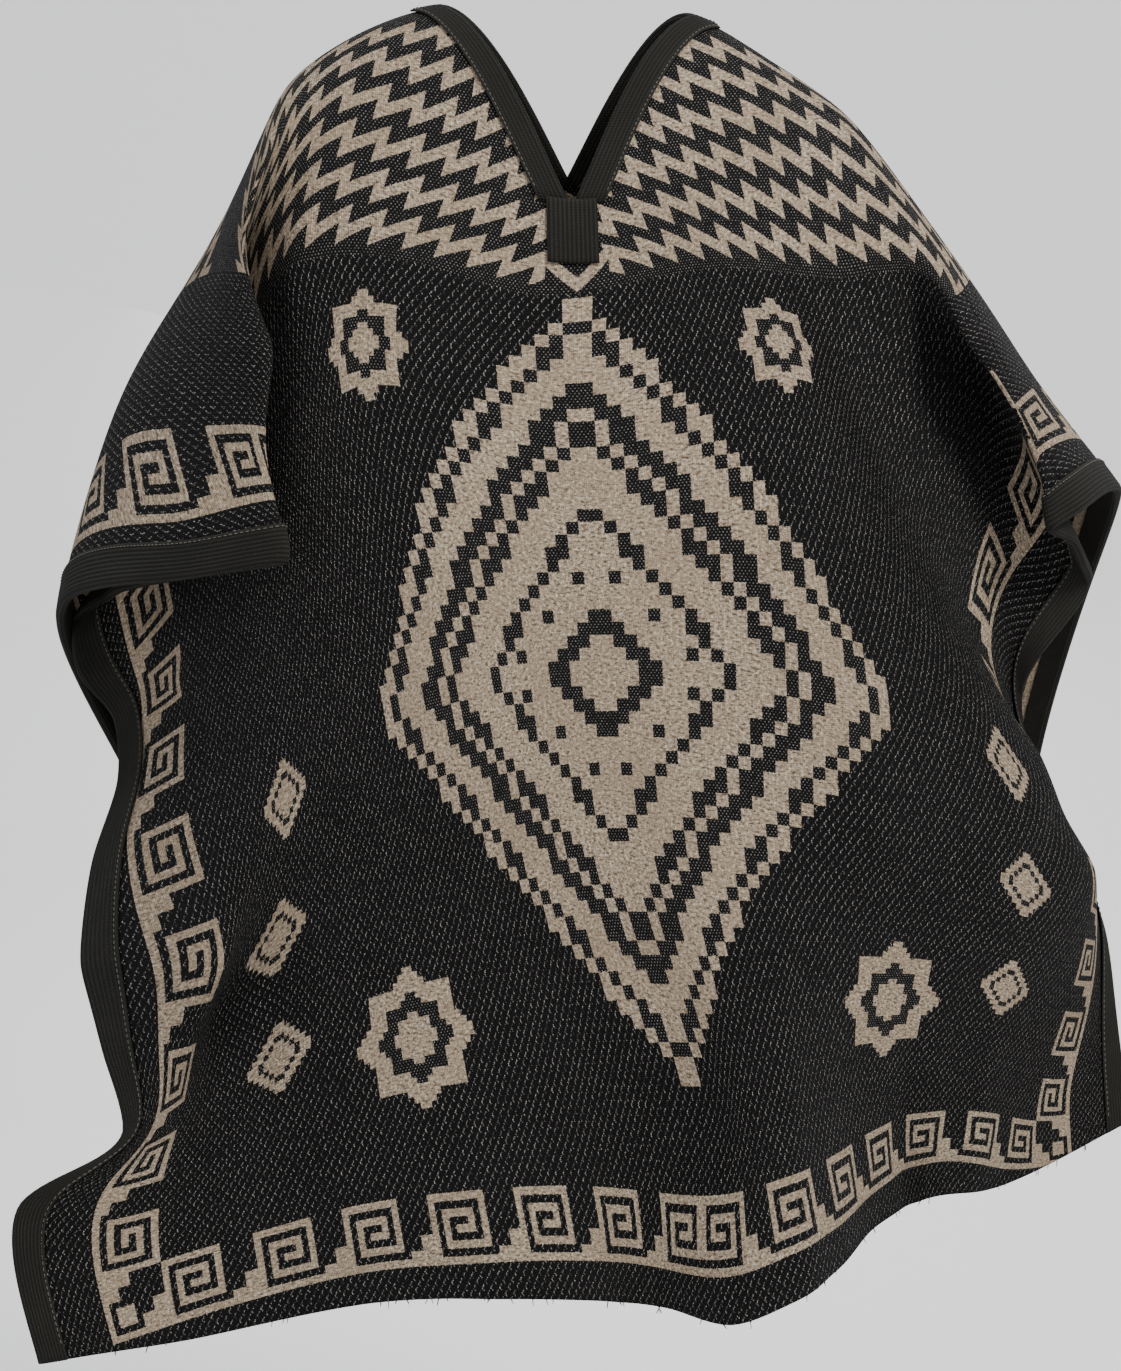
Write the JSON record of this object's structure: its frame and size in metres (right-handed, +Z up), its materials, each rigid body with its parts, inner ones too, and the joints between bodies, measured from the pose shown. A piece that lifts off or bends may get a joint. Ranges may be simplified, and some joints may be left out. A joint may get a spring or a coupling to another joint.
{
  "type": "poncho",
  "caption": "Open-sided rectangular poncho with a V-neck slit, bound with tape at neck and sides, in its worn hollow form with cloth folded forward over both arms",
  "frame": {"origin": "the point between the two neck points of the shoulder fold, where the wearer's shoulders hold the garment; named mount shoulders", "axes": "+Z is up, along the wearer's body; the front faces -Y; +X is to the viewer's right when the front is seen"},
  "size_m": [0.8103, 0.4014, 0.9379],
  "materials": {
    "front_panel": "heavy double jacquard cloth, black with a beige woven pattern outside and the colours exchanged inside",
    "back_panel": "heavy double jacquard cloth, black with a beige woven pattern outside and the colours exchanged inside",
    "side_band_left": "dark lengthwise-ribbed binding tape",
    "side_band_right": "dark lengthwise-ribbed binding tape",
    "neck_band_left": "dark lengthwise-ribbed binding tape",
    "neck_band_right": "dark lengthwise-ribbed binding tape",
    "neck_patch": "dark ribbed tape patch over the foot of the neck slit"
  },
  "bodies": {
    "root": {"front_panel": "front_panel", "back_panel": "back_panel", "side_band_left": "side_band_left", "side_band_right": "side_band_right", "neck_band_left": "neck_band_left", "neck_band_right": "neck_band_right", "neck_patch": "neck_patch"}
  },
  "joints": []
}
